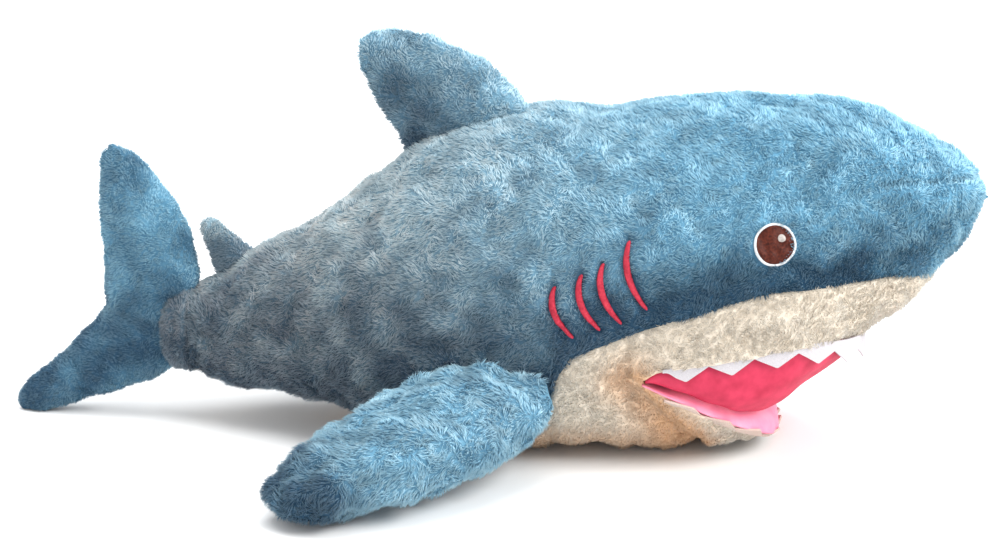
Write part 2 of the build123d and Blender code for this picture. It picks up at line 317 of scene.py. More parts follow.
SWIRL = [Waves(11 + i, 70) for i in range(3)]
RUFFLE = [Waves(21 + i, 22) for i in range(3)]
BLOTCHES = Waves(7, 42, 30)
SWIRL_SHARE, RUFFLE_SHARE, STRAY_SHARE = 0.45, 0.6, 0.45
TUFT_CENTRES = 0.11       # share of the fibres that others are drawn towards
ROOT_DEPTH = 1.0
MOST_TUFTS = 48000        # in one piece
TRIANGLES = np.array([[0, 1, 3], [1, 2, 3], [2, 0, 3], [0, 2, 1]])


def scatter(grid, normals, spacing, draw, wrap=False):
    """Random points spread evenly over a grid, with their normals."""
    if wrap:
        grid = np.concatenate([grid, grid[:, :1]], axis=1)
        normals = np.concatenate([normals, normals[:, :1]], axis=1)
    a, b, c, d = grid[:-1, :-1], grid[1:, :-1], grid[1:, 1:], grid[:-1, 1:]
    area = 0.5 * np.linalg.norm(np.cross(c - a, d - b), axis=-1).ravel()
    count = int(area.sum() / spacing**2)
    edges = np.cumsum(area)
    pick = np.searchsorted(edges, (np.arange(count) + draw.uniform(0, 1, count)) / count * edges[-1])
    pick = np.clip(pick, 0, len(area) - 1)
    i, j = np.divmod(pick, grid.shape[1] - 1)
    u, v = draw.uniform(0, 1, (2, count, 1))

    def mix(field):
        low = field[i, j] * (1 - u) + field[i + 1, j] * u
        high = field[i, j + 1] * (1 - u) + field[i + 1, j + 1] * u
        return low * (1 - v) + high * v

    return mix(grid), unit(mix(normals))


def nearest_centres(points, share, draw):
    """For each point, the index of the nearest of a random few of the points."""
    chosen = draw.choice(len(points), max(int(len(points) * share), 1), replace=False)
    tree = KDTree(len(chosen))
    for n, index in enumerate(chosen):
        tree.insert(points[index], n)
    tree.balance()
    return np.array([chosen[tree.find(p)[1]] for p in points])


def grow(name, roots, normals, pile, materials, keep=None, length_share=None, paint=None):
    """Fur: one slim closed spike on each root, leaning with the nap and drawn into small clumps."""
    draw = np.random.default_rng(pile.seed)
    if keep is not None:
        mask = keep(roots)
        roots, normals = roots[mask], normals[mask]
    count = len(roots)
    swirl = np.stack([w(roots) for w in SWIRL], -1)
    ruffle = np.stack([w(roots) for w in RUFFLE], -1)
    flow = pile.flow + SWIRL_SHARE * swirl + RUFFLE_SHARE * ruffle + STRAY_SHARE * draw.normal(size=(count, 3))
    flow = unit(flow - normals * np.sum(flow * normals, -1, keepdims=True))
    direction = unit(normals * (1 - 0.62 * pile.lean) + flow * pile.lean)
    length = pile.length * draw.uniform(0.75, 1.2, count)
    if length_share is not None:
        length = length * length_share(roots)
    tips = roots + direction * length[:, None]
    centre = nearest_centres(roots, TUFT_CENTRES, draw)
    pull = pile.clump * draw.uniform(0.5, 1.0, (count, 1))
    gathered = roots[centre] + direction[centre] * length[centre, None]
    tips = tips + (gathered - tips) * pull
    side = unit(np.cross(direction, normals) + 1e-6)
    front = unit(np.cross(side, direction))
    turn = draw.uniform(0, 2 * math.pi, count)
    base = []
    for corner in range(3):
        angle = turn + corner * 2 * math.pi / 3
        offset = side * np.cos(angle)[:, None] + front * np.sin(angle)[:, None]
        base.append(roots - normals * ROOT_DEPTH + offset * pile.width)
    vertices = np.stack(base + [tips], 1)
    vertices[..., 2] = np.maximum(vertices[..., 2], FLOOR_CLEARANCE)
    shade = draw.uniform(0, 1, count)
    order = np.argsort(roots[:, 0])
    parts = np.array_split(order, int(math.ceil(count / MOST_TUFTS)))
    made = []
    for number, part in enumerate(parts, 1):
        tag = name if len(parts) == 1 else f"{name}_{number}"
        tints = (paint or trunk_tint)(roots[part])
        made.append(spikes_object(tag, vertices[part], shade[part], tints, materials))
    return made


def gill_distances(points):
    """Distance of each point from the middle line of each gill stripe, seen from the side."""
    for x, z, height in GILLS:
        line = [(x, z), (x - 0.25 * GILL_BOW, z - 0.4 * height), (x + GILL_LEAN, z - height)]
        yield polyline_distance(points[..., [0, 2]], line)


def ease(value, start, end):
    """0 before start, 1 after end, smooth between."""
    share = np.clip((value - start) / (end - start), 0, 1)
    return share * share * (3 - 2 * share)


def trunk_tint(points):
    """Per point: how far the blue is greyed towards the tail; painted shade on the low flank, the cheek above the
    border, round the gills and in the nose darts, with random blotches; and painted tan shade in the throat fold and
    underneath."""
    x, z = points[..., 0], points[..., 2]
    near = np.stack([x, -np.abs(points[..., 1]), z], -1)
    greyed = 0.9 * ease(-x, -260, 200)
    border = smooth(BORDER, 1, np.clip(x, BORDER[0][0], BORDER[-1][0]))
    # painted shade: darker lower down the flank, on the cheek above the border, and near the bottom further back
    low = 0.85 * ease(-z, -270, -100) * ease(-x, -440, -330)
    low = low + 0.65 * ease(border - z, -85, -6) * ease(x, 60, 150)
    low = low + 0.4 * ease(-z, -105, -45) * ease(-x, 60, 200)
    # painted shade round the gill stripes and in the nose darts, then random blotches
    for distance in gill_distances(points):
        low = low + 0.5 * np.exp(-(distance / 6) ** 2)
    low = low + 0.8 * np.exp(-(polyline_distance(near, NOSE_DART) / 3.5) ** 2)
    low = np.clip(low + BLOTCH_DEPTH * BLOTCHES(points), 0, 1)
    # painted tan shade in the throat fold and under the trunk
    fold = np.exp(-(polyline_distance(near, THROAT_FOLD) / 24) ** 2) * ease(-x, -250, -215)
    return greyed, low, np.clip(1.2 * fold + 0.8 * ease(-z, -60, -8) * ease(-x, -262, -222), 0, 1)


def fin_tint(fin, shade, root_shade, tip_shade, greyness=0.15):
    """The same for a fin: painted shade, heavier at its root and at its tip, with random blotches, over an even
    greying.
    """
    root, tip, along = fin_frame(fin)[:3]
    length = np.linalg.norm(tip - root)

    def paint(points):
        points = np.stack([points[..., 0], -np.abs(points[..., 1]), points[..., 2]], -1)
        share = (points - root) @ along / length
        low = shade + root_shade * (1 - ease(share, 0.0, 0.55)) + tip_shade * ease(share, 0.62, 0.95)
        return greyness + 0 * low, np.clip(low + BLOTCH_DEPTH * BLOTCHES(points), 0, 1), 0 * low

    return paint


def set_attribute(mesh, name, values):
    layer = mesh.attributes.new(name, "FLOAT", "POINT")
    layer.data.foreach_set("value", np.asarray(values, np.float32).ravel())


def spikes_object(name, spikes, shade, tints, materials):
    """The spikes as one mesh, with each vertex's place from root (0) to tip (1) and each spike's shade."""
    count = len(spikes)
    faces = (np.arange(count)[:, None, None] * 4 + TRIANGLES[None]).reshape(-1, 3)
    mesh = bpy.data.meshes.new(name)
    mesh.vertices.add(count * 4)
    mesh.vertices.foreach_set("co", (spikes * MM).astype(np.float32).ravel())
    mesh.loops.add(faces.size)
    mesh.loops.foreach_set("vertex_index", faces.astype(np.int32).ravel())
    mesh.polygons.add(len(faces))
    mesh.polygons.foreach_set("loop_start", np.arange(0, faces.size, 3, dtype=np.int32))
    mesh.polygons.foreach_set("use_smooth", np.ones(len(faces), bool))
    for material in materials:
        mesh.materials.append(material)
    mesh.update(calc_edges=True)
    set_attribute(mesh, "height", np.tile([0, 0, 0, 1], count))
    set_attribute(mesh, "tone", np.repeat(shade, 4))
    for label, values in zip(TINTS, tints):
        set_attribute(mesh, label, np.repeat(values, 4))
    side = int(math.ceil(math.sqrt(count)))
    column, row = np.arange(count) % side, np.arange(count) // side
    corner = np.array([[0.15, 0.1], [0.85, 0.1], [0.5, 0.1], [0.5, 0.9]])
    place = (np.stack([column, row], -1)[:, None, :] + corner[None]) / side
    uv = mesh.uv_layers.new(name="OFBake")
    uv.data.foreach_set("uv", place.reshape(-1, 2)[faces.ravel()].astype(np.float32).ravel())
    return add_to_scene(name, mesh)


# ---- materials ----------------------------------------------------------------------------------
def principled(name, roughness, sheen=0.0, sheen_tint=(1, 1, 1), specular=0.3):
    material = bpy.data.materials.new(name)
    material.use_nodes = True
    shader = material.node_tree.nodes["Principled BSDF"]
    shader.inputs["Roughness"].default_value = roughness
    shader.inputs["Sheen Weight"].default_value = sheen
    shader.inputs["Sheen Roughness"].default_value = 0.5
    shader.inputs["Sheen Tint"].default_value = (*sheen_tint, 1)
    shader.inputs["Specular IOR Level"].default_value = specular
    return material, material.node_tree, shader


def noise(tree, scale, detail=4.0, stretch=(1, 1, 1)):
    """A noise texture in the object's own space, with scale in features per metre."""
    place = tree.nodes.new("ShaderNodeTexCoord")
    mapping = tree.nodes.new("ShaderNodeMapping")
    mapping.inputs["Scale"].default_value = stretch
    texture = tree.nodes.new("ShaderNodeTexNoise")
    texture.inputs["Scale"].default_value = scale
    texture.inputs["Detail"].default_value = detail
    tree.links.new(place.outputs["Object"], mapping.inputs["Vector"])
    tree.links.new(mapping.outputs["Vector"], texture.inputs["Vector"])
    return texture.outputs["Fac"]


def ramp(tree, value, stops):
    """A colour ramp with the given (place, colour) stops."""
    node = tree.nodes.new("ShaderNodeValToRGB")
    elements = node.color_ramp.elements
    while len(elements) < len(stops):
        elements.new(0.5)
    for element, (place, colour) in zip(elements, stops):
        element.position = place
        element.color = (*colour, 1)
    tree.links.new(value, node.inputs["Fac"])
    return node.outputs["Color"]


def math_node(tree, operation, a, b):
    node = tree.nodes.new("ShaderNodeMath")
    node.operation = operation
    for socket, value in zip(node.inputs, (a, b)):
        if isinstance(value, (int, float)):
            socket.default_value = value
        else:
            tree.links.new(value, socket)
    return node.outputs["Value"]


def attribute(tree, name):
    node = tree.nodes.new("ShaderNodeAttribute")
    node.attribute_name = name
    return node.outputs["Fac"]


def bump(tree, shader, height, strength, distance):
    node = tree.nodes.new("ShaderNodeBump")
    node.inputs["Strength"].default_value = strength
    node.inputs["Distance"].default_value = distance
    tree.links.new(height, node.inputs["Height"])
    tree.links.new(node.outputs["Normal"], shader.inputs["Normal"])


def mixed(tree, share, first, second, blend="MIX"):
    """A colour between two colours or colour sockets."""
    node = tree.nodes.new("ShaderNodeMix")
    node.data_type = "RGBA"
    node.blend_type = blend
    sockets = {socket.identifier: socket for socket in node.inputs}
    for identifier, value in (("Factor_Float", share), ("A_Color", first), ("B_Color", second)):
        socket = sockets[identifier]
        if isinstance(value, tuple):
            socket.default_value = (*value, 1)
        elif isinstance(value, float):
            socket.default_value = value
        else:
            tree.links.new(value, socket)
    return next(socket for socket in node.outputs if socket.identifier == "Result_Color")


def shaded(tree, shader, value, stops, grey, painted_shade_and_blotch_colour, painted_tan_shade):
    """A fur colour as it changes over the body: greyed towards the tail, painted shade with random blotches, painted
    tan shade in the folds.
    """
    def scaled(scale):
        return ramp(tree, value, [(place, tuple(c * k for c, k in zip(colour, scale))) for place, colour in stops])

    colour = scaled((1, 1, 1))
    if grey is not None:
        colour = mixed(tree, attribute(tree, "greyed"), colour, scaled(grey))
    if painted_shade_and_blotch_colour is not None:
        colour = mixed(tree, attribute(tree, "low"), colour, painted_shade_and_blotch_colour, "MULTIPLY")
    if painted_tan_shade is not None:
        colour = mixed(tree, attribute(tree, "painted_tan_shade"), colour, scaled(painted_tan_shade))
    tree.links.new(colour, shader.inputs["Base Color"])


def pile_material(name, root, body, tip, sheen, grey=None, painted_shade_and_blotch_colour=None, painted_tan_shade=None):
    """Fur fibres: dark at the root as painted shade deep in the pile, light at the tip, in patches of slightly
    different shade.
    """
    material, tree, shader = principled(name, 0.75, sheen, tip, 0.25)
    patches = math_node(tree, "MULTIPLY", noise(tree, 45, 4), 0.6)
    streaks = math_node(tree, "MULTIPLY", attribute(tree, "tone"), 0.2)
    place = math_node(tree, "MULTIPLY", attribute(tree, "height"), 0.4)
    total = math_node(tree, "ADD", math_node(tree, "ADD", patches, streaks), place)
    shaded(tree, shader, total, ((0.25, root), (0.6, body), (0.95, tip)), grey, painted_shade_and_blotch_colour, painted_tan_shade)
    return material


def backing_material(name, dark, light, grey=None, painted_shade_and_blotch_colour=None, painted_tan_shade=None):
    """The cloth and the dense underfur that show between the tufts."""
    material, tree, shader = principled(name, 0.95, 0.2, light, 0.1)
    shaded(tree, shader, noise(tree, 120, 5), ((0.3, dark), (0.75, light)), grey, painted_shade_and_blotch_colour, painted_tan_shade)
    bump(tree, shader, noise(tree, 700, 3), 0.5, 0.002)
    return material


def cloth_material(name, dark, light, finish, mottle, stops, grain):
    """Two shades in patches over a fine grain. finish is roughness, sheen, specular."""
    material, tree, shader = principled(name, finish[0], finish[1], light, finish[2])
    colour = ramp(tree, noise(tree, *mottle), list(zip(stops, (dark, light))))
    tree.links.new(colour, shader.inputs["Base Color"])
    bump(tree, shader, noise(tree, *grain[:2]), *grain[2:])
    return material


def velour_material(name, dark, light, sheen):
    """Short smooth velour lining with a faint nap."""
    return cloth_material(name, dark, light, (0.6, sheen, 0.3), (60, 6), (0.3, 0.7), (1800, 2, 0.25, 0.0006))


def felt_material(name, dark, light):
    """Pressed felt: matted fibres with no weave."""
    return cloth_material(name, dark, light, (0.95, 0.15, 0.15), (900, 6, (1, 1, 2)), (0.35, 0.65),
                          (1600, 4, 0.5, 0.0008))


def thread_material(name, dark, light):
    """Glossy embroidery thread."""
    return cloth_material(name, dark, light, (0.55, 0.0, 0.15), (450, 3), (0.3, 0.7), (2600, 2, 0.3, 0.0003))


# The roots' darker colour is painted shade deep in the pile.
BLUE_ROOT, BLUE_BODY, BLUE_TIP = (0.09, 0.22, 0.34), (0.29, 0.57, 0.74), (0.55, 0.84, 0.96)
GREYED_SCALE = (1.85, 1.06, 0.84)    # what the blue is multiplied by where it is greyed: greyer and less blue towards the tail
PAINTED_SHADE_AND_BLOTCH_COLOUR = (0.21, 0.23, 0.28)     # and where the painted shade and random blotches of the low attribute lie
CREAM_ROOT, CREAM_BODY, CREAM_TIP = (0.56, 0.49, 0.41), (0.71, 0.65, 0.56), (0.80, 0.76, 0.69)
PAINTED_TAN_SHADE = (0.98, 0.68, 0.47)     # what the cream is multiplied by for painted tan shade in folds and underneath
blue_pile = pile_material("blue_pile", BLUE_ROOT, BLUE_BODY, BLUE_TIP, 0.25, grey=GREYED_SCALE, painted_shade_and_blotch_colour=PAINTED_SHADE_AND_BLOTCH_COLOUR)
# The blue backing is as dark as the fibres' roots: painted shade down between the tufts.
blue_backing = backing_material("blue_backing", (0.07, 0.19, 0.29), (0.16, 0.37, 0.52), grey=GREYED_SCALE, painted_shade_and_blotch_colour=PAINTED_SHADE_AND_BLOTCH_COLOUR)
cream_pile = pile_material("cream_pile", CREAM_ROOT, CREAM_BODY, CREAM_TIP, 0.2, painted_tan_shade=PAINTED_TAN_SHADE)
cream_backing = backing_material("cream_backing", (0.62, 0.54, 0.44), (0.77, 0.70, 0.60), painted_tan_shade=PAINTED_TAN_SHADE)
crimson_velour = velour_material("crimson_velour", (0.42, 0.016, 0.052), (0.60, 0.036, 0.092), 0.1)
pink_velour = velour_material("pink_velour", (0.90, 0.24, 0.38), (0.97, 0.34, 0.48), 0.3)
white_felt = felt_material("white_felt", (0.46, 0.44, 0.46), (0.58, 0.56, 0.59))
# Cream felt, its colour darkened with painted shade for the lower teeth's down-turned outer face.
cream_felt = felt_material("cream_felt", (0.50, 0.40, 0.34), (0.62, 0.51, 0.46))
white_thread = thread_material("white_thread", (0.56, 0.58, 0.60), (0.74, 0.76, 0.78))
brown_thread = thread_material("brown_thread", (0.030, 0.005, 0.003), (0.105, 0.020, 0.010))
glint_thread = thread_material("glint_thread", (0.34, 0.31, 0.29), (0.50, 0.46, 0.43))
red_thread = thread_material("red_thread", (0.32, 0.016, 0.034), (0.50, 0.038, 0.066))
BLUE_FUR = ("blue_fur", blue_backing, blue_pile)
CREAM_FUR = ("cream_fur", cream_backing, cream_pile)


# ---- relief of the trunk ------------------------------------------------------------------------
LUMPS, DIMPLES, CURLS = Waves(1, 95), Waves(2, 30), Waves(3, 10, 40)


def mirrored_line(line):
    return [(x, -y, z) for x, y, z in line]


def trunk_relief(points):
    """How far the stuffed trunk's surface stands out or in, besides its form."""
    height = 2.0 * LUMPS(points) + 0.9 * DIMPLES(points) + 0.5 * CURLS(points)
    for line in (NOSE_DART, mirrored_line(NOSE_DART)):
        height += groove(polyline_distance(points, line), 4.5, 5.0)
    fold = [(z, x) for x, _, z in THROAT_FOLD[::-1]]
    behind = points[..., 0] < smooth(fold, 1, np.clip(points[..., 2], fold[0][0], fold[-1][0]))
    for line in (THROAT_FOLD, mirrored_line(THROAT_FOLD)):
        distance = polyline_distance(points, line)
        height += np.where(behind, groove(distance, 20.0, 11.0), groove(distance, 5.0, 11.0))
    for line in (PARTING, mirrored_line(PARTING)):
        height += groove(polyline_distance(points, line), 5.0, 1.6)
    x, z = points[..., 0], points[..., 2]
    for distance in gill_distances(points):
        height += groove(distance, 6.5, 3.0)
    height += groove(np.hypot(x - EYE[0], z - EYE[1]), 24.0, 3.0)
    along = np.clip((x - PUCKER_X[0]) / 20, 0, 1) * np.clip((PUCKER_X[1] - x) / 12, 0, 1)
    height += 3.0 * np.clip((70 - z) / 60, 0, 1) * along * np.sin(x / 7.5 + 0.02 * z)
    height += groove(x + 299, 3.0, 3.0) + groove(x + 291, 2.2, 1.4)
    seam = np.abs(z - smooth(BORDER, 1, np.clip(x, -320, 510)))
    height += groove(seam, 3.5, 2.2)
    return height


def raised(grid, outward):
    """A trunk grid with its relief, kept above the floor, and its normals."""
    normals = grid_normals(grid, outward)
    height = trunk_relief(grid) - PILE_STAND
    grid = grid + normals * height[..., None]
    grid[..., 2] = np.maximum(grid[..., 2], CLOTH_CLEARANCE)
    return grid, grid_normals(grid, outward)


def panel_grid(x, low, high, columns, side):
    """A trunk panel between two lines of angles, from low to high."""
    share = np.linspace(0, 1, columns)[None, :]
    angle = low[:, None] * (1 - share) + high[:, None] * share
    return trunk_points(x[:, None], angle, side)


def belly_grid(x, edge, columns):
    """A panel under the trunk, from the left edge over the belly line to the right edge."""
    share = np.linspace(-1, 1, columns)[None, :]
    angle = -math.pi / 2 + np.abs(share) * (edge[:, None] + math.pi / 2)
    return trunk_points(x[:, None], angle, np.where(share < 0, 1, -1))


def short_round_face(roots):
    """Shorter pile round the eyes and the gills."""
    share = np.ones(len(roots))
    eye = np.hypot(roots[:, 0] - EYE[0], roots[:, 2] - EYE[1])
    share *= 1 - 0.2 * np.exp(-(eye / 30) ** 4)
    for distance in gill_distances(roots):
        share *= 1 - 0.35 * np.exp(-(distance / 12) ** 2)
    return share


def clear_of_face(roots):
    """Keeps the pile off the embroidery."""
    keep = np.hypot(roots[:, 0] - EYE[0] + 3.0, roots[:, 2] - EYE[1] + 2.0) > EYE_RING_RADIUS - 1.5
    for distance in gill_distances(roots):
        keep &= distance > GILL_WIDTH / 2
    return keep


def finish_piece(piece, body, slot, nodes=()):
    if isinstance(piece, list):
        for part in piece:
            finish_piece(part, body, slot)
        return piece
    if body == "throat":
        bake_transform(piece)
    elif body == "stalk":
        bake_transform(piece)
    else:
        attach(piece, body)
    if nodes:
        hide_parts(*nodes)
    return piece


def fur_panel(names, grid, normals, fur, pile, body, nodes, keep=None, length_share=None, thickness=FABRIC):
    """A panel of fur: its cloth, which stands for the CAD nodes, and its pile. fur is slot, backing and fibre."""
    slot, backing, fibre = fur
    cloth = make_object(names[0], *sheet_mesh(grid, normals, thickness), [backing])
    finish_piece(cloth, body, slot, nodes)
    roots, out = scatter(grid, normals, pile.spacing, np.random.default_rng(pile.seed))
    finish_piece(grow(names[1], roots, out, pile, [fibre], keep, length_share), body, slot)


def off_floor(points):
    return points[:, 2] > 3.0


def off_floor_and_jaw(points):
    return off_floor(points) & (points[:, 2] < rim_height(points[:, 0]) - 6.0)


def make_back():
    """The two blue panels that meet along the back."""
    x = np.concatenate([np.arange(TRUNK_BACK, 470, 3.5), np.linspace(470, TRUNK_FRONT, 16)])
    edge = angle_at(x, smooth(BORDER, 1, x))
    for name, side in SIDES:
        grid = panel_grid(x, edge, np.full_like(x, math.pi / 2), 96, side)
        grid, normals = raised(grid, np.array([0, side, 0.5]))
        node = f"upper_skin_{name}"
        fur_panel((f"{node}_cloth", f"{node}_pile"), grid, normals, BLUE_FUR, Pile(seed=30 + side), "trunk", (node,),
                  clear_of_face, short_round_face)


def make_belly():
    """The cream belly, with the throat in front of it."""
    x = np.arange(TRUNK_BACK, JAW_PIVOT[0] + 0.1, 3.95)
    x[-1] = JAW_PIVOT[0]
    edge = angle_at(x, np.minimum(smooth(BORDER, 1, x), JAW_PIVOT[1]))
    grid = belly_grid(x, edge, 110)
    grid, normals = raised(grid, np.array([0, 0, -1]))
    fur_panel(("belly_skin_cloth", "belly_skin_pile"), grid, normals, CREAM_FUR,
              Pile(length=5.5, spacing=1.8, seed=41), "throat", ("belly_skin", "trunk_filling"),
              off_floor_and_jaw)


def lip_line(x):
    """Lower edge of the cream panel of the head: the cheek behind the mouth, then the upper lip."""
    behind = np.minimum(JAW_PIVOT[1], smooth(BORDER, 1, x))
    return np.where(x < LIP[0][0], behind, smooth(LIP, 1, np.clip(x, LIP[0][0], LIP[-1][0])))


def make_snout():
    """The cream panel round the snout, from cheek to cheek, down to the belly line in front of the lip."""
    chin = np.linspace(LIP_FRONT, TRUNK_FRONT, 500)
    chin = chin[smooth(BORDER, 1, chin) > trunk_shape(chin)[1] + 1]
    x = np.concatenate([np.arange(86, LIP_FRONT, 3.2), np.linspace(LIP_FRONT, chin[-1], 36)])
    top = angle_at(x, smooth(BORDER, 1, x))
    low = np.maximum(lip_line(x), trunk_shape(x)[1])
    bottom = np.where(x < LIP_FRONT + 1, angle_at(x, low), -math.pi / 2)
    for name, side in SIDES:
        grid = panel_grid(x, bottom, top, 44, side)
        grid, normals = raised(grid, np.array([0, side, -0.4]))
        fur_panel((f"snout_skin_cloth_{name}", f"snout_skin_pile_{name}"), grid, normals, CREAM_FUR,
                  Pile(length=5.0, spacing=1.6, seed=50 + side), "trunk", ("snout_skin",),
                  thickness=SNOUT_FABRIC)


# ---- mouth --------------------------------------------------------------------------------------
def rim_height(x):
    share = (x - JAW_PIVOT[0]) / (JAW_TIP[0] - JAW_PIVOT[0])
    return JAW_PIVOT[1] + share * (JAW_TIP[1] - JAW_PIVOT[1])


def half_width_at(x, z):
    """Half width of the trunk's form at a height."""
    angle = angle_at(x, z)
    return np.abs(trunk_points(x, angle, 1)[..., 1])


def towards(start, end, count):
    """Places that crowd towards the end, where an outline closes."""
    return start + (end - start) * np.sin(np.linspace(0, math.pi / 2, count))


def dome_grid(x, half, edge, middle, columns, power):
    """Rows across the mouth from side to side, edge high at the sides and middle high on the centre line."""
    share = np.sin(np.linspace(-math.pi / 2, math.pi / 2, columns))[None, :]
    power = np.broadcast_to(power, x.shape)[:, None]
    lift = (1 - np.abs(share) ** power) ** (1 / power)
    y = -half[:, None] * share
    z = edge[:, None] + (middle - edge)[:, None] * lift
    return np.stack([np.broadcast_to(x[:, None], z.shape), y, z], -1)


def closed_dome(grid, lid_height, lid_inset=0.0):
    """A closed pad: the domed grid and a flat lid at the given heights."""
    rows, columns, _ = grid.shape
    lid = grid.copy()
    lid[..., 1] -= np.clip(lid[..., 1], -lid_inset, lid_inset)
    lid[..., 2] = lid_height[:, None]
    normals = np.zeros_like(grid)
    normals[..., 2] = np.sign(grid[..., 2].mean() - lid_height.mean())
    vertices, faces = sheet_mesh(grid, normals, 0)
    vertices[rows * columns:] = lid.reshape(-1, 3)
    return vertices, faces


def make_palate():
    x = towards(171, LIP_FRONT - 5, 90)
    lip = smooth(LIP, 1, x) - 1.5
    half = np.maximum(half_width_at(x, lip) - 6.0, 1.0)
    keel = np.minimum(smooth(KEEL, 1, x), lip - 0.5)
    grid = dome_grid(x, half, lip, keel, 80, 4.6 - 2.5 * ease(x, 225, 330))
    grid[..., 2] += 0.8 * Waves(5, 45)(grid)
    palate = make_object("palate", *closed_dome(grid, lip + 6, 8.0), [crimson_velour])
    finish_piece(palate, "trunk", "crimson_lining", ("palate_lining",))
    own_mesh(palate)


def make_jaw():
    """Cream outside, pink inside: a wedge that hangs open under the palate."""
    x = towards(JAW_PIVOT[0], JAW_TIP[0] - 3, 60)
    rim = rim_height(x)
    low = np.maximum(rim - JAW_LIP_DROP, trunk_shape(x)[1] + 0.5)
    grid = belly_grid(x, angle_at(x, low), 84)
    grid, normals = raised(grid, np.array([0, 0, -1]))
    fur_panel(("jaw_skin_cloth", "jaw_skin_pile"), grid, normals, CREAM_FUR,
              Pile(length=5.0, spacing=1.6, seed=61), "throat", ("jaw_skin", "jaw_filling"), off_floor)
    rim = np.maximum(rim, low + 2.0)
    half = np.maximum(half_width_at(x, rim) - 3.0, 1.0)
    bulge = 30.0 * ease(x, 172, 235) * (1 - 0.75 * ease(x, 302, JAW_TIP[0]))
    top = dome_grid(x, half, rim, rim + bulge, 60, 2.0)
    lining = make_object("jaw_lining_velour", *closed_dome(top, low + 0.5, 7.0), [pink_velour])
    finish_piece(lining, "jaw", "pink_lining", ("jaw_lining",))


# ---- fins ---------------------------------------------------------------------------------------
def fin_frame(fin):
    root, tip = np.array(fin["root"], float), np.array(fin["tip"], float)
    along = unit(tip - root)
    chord = np.array(fin["chord"], float)
    chord = unit(chord - along * (chord @ along))
    return root, tip, along, chord, np.cross(along, chord)


def fin_grid(fin, spans, rounds, start=0.0):
    """Closed rings round a stuffed fin from root to tip, pinched a little at the edge seams."""
    root, tip, along, chord, up = fin_frame(fin)
    share = start + (1 - start) * np.sin(np.linspace(0, math.pi / 2, spans))
    lead, trail, half = (smooth(fin["rows"], column, np.maximum(share, 0))[:, None] for column in (1, 2, 3))
    angle = np.linspace(0, 2 * math.pi, rounds, endpoint=False)[None, :]
    s, c = np.sin(angle), np.cos(angle)
    pinch = 0.92 + 0.08 * np.abs(s) ** 0.5
    middle = root + np.linalg.norm(tip - root) * share[:, None, None] * along
    flat = (lead - trail) / 2 + (lead + trail) / 2 * c
    thick = half * np.sign(s) * np.abs(s) ** 0.95 * pinch
    return middle + flat[..., None] * chord + thick[..., None] * up


def closed_rings(grid):
    """A closed mesh from rings, with a fan at each end."""
    rows, columns, _ = grid.shape
    vertices = np.concatenate([grid.reshape(-1, 3), grid[0].mean(0)[None], grid[-1].mean(0)[None]])
    faces = [list(f) for f in grid_faces(rows, columns, wrap=True)]
    first, last = rows * columns, rows * columns + 1
    for j in range(columns):
        k = (j + 1) % columns
        faces.append([first, j, k])
        faces.append([last, (rows - 1) * columns + k, (rows - 1) * columns + j])
    return vertices, faces


def ring_normals(grid):
    along = np.gradient(grid, axis=0)
    across = np.roll(grid, -1, axis=1) - np.roll(grid, 1, axis=1)
    normal = unit(np.cross(along, across))
    centre = grid.mean(axis=1, keepdims=True)
    return normal * np.sign(np.sum(normal * (grid - centre)))


def make_fin(name, grids, body, nodes, pile, lumps, keep=None, floor=None, paint=None, sink=3.0):
    """A stuffed fin of one or more lobes: cloth and pile."""
    for number, grid in enumerate(grids):
        tag = name if len(grids) == 1 else f"{name}_{'upper' if number == 0 else 'lower'}"
        normals = ring_normals(grid)
        height = lumps * LUMPS(grid * 2.2) + 0.5 * lumps * DIMPLES(grid) + 0.4 * CURLS(grid) - sink
        grid = grid + normals * height[..., None]
        if floor is not None:
            grid[..., 2] = np.maximum(grid[..., 2], floor)
        normals = ring_normals(grid)
        cloth = make_object(f"{tag}_cloth", *closed_rings(grid), [blue_backing], paint=paint)
        finish_piece(cloth, body, "blue_fur", nodes if number == 0 else ())
        roots, out = scatter(grid, normals, pile.spacing, np.random.default_rng(pile.seed + number), wrap=True)
        fur = grow(f"{tag}_pile", roots, out, pile, [blue_pile], keep, paint=paint)
        finish_piece(fur, body, "blue_fur")


def outside_trunk(points):
    """True where a fin's point is outside the trunk's form, with a little to spare."""
    x = np.clip(points[:, 0], TRUNK_BACK, TRUNK_FRONT)
    top, bottom, half, widest = trunk_shape(x)
    z = points[:, 2]
    above = z > widest
    reach = np.where(above, top - widest, widest - bottom) - 3
    power = np.where(above, UPPER_POWER, LOWER_POWER)
    inside = (np.abs(points[:, 1]) / (half - 3)) ** power + np.abs((z - widest) / reach) ** power < 1
    return ~(inside & (points[:, 0] > TRUNK_BACK))


def off_trunk_and_floor(points):
    return outside_trunk(points) & (points[:, 2] > 3.5)


def make_top_fins():
    fur = Pile(length=6.0, seed=71, flow=(-0.5, 0, 0.6))
    make_fin("dorsal_fin", [fin_grid(DORSAL, 60, 90, -0.3)], "dorsal_fin",
             ("dorsal_fin_left", "dorsal_fin_right", "dorsal_fin_filling"), fur, 1.6, outside_trunk,
             paint=dorsal_tint)
    small = Pile(length=5.0, spacing=1.4, seed=73, flow=(-0.4, 0, 0.6))
    make_fin("second_dorsal_fin", [fin_grid(SECOND_DORSAL, 24, 40, -0.4)], "second_dorsal_fin",
             ("second_dorsal_fin_left", "second_dorsal_fin_right", "second_dorsal_fin_filling"),
             small, 0.5, outside_trunk, paint=second_dorsal_tint, sink=2.0)


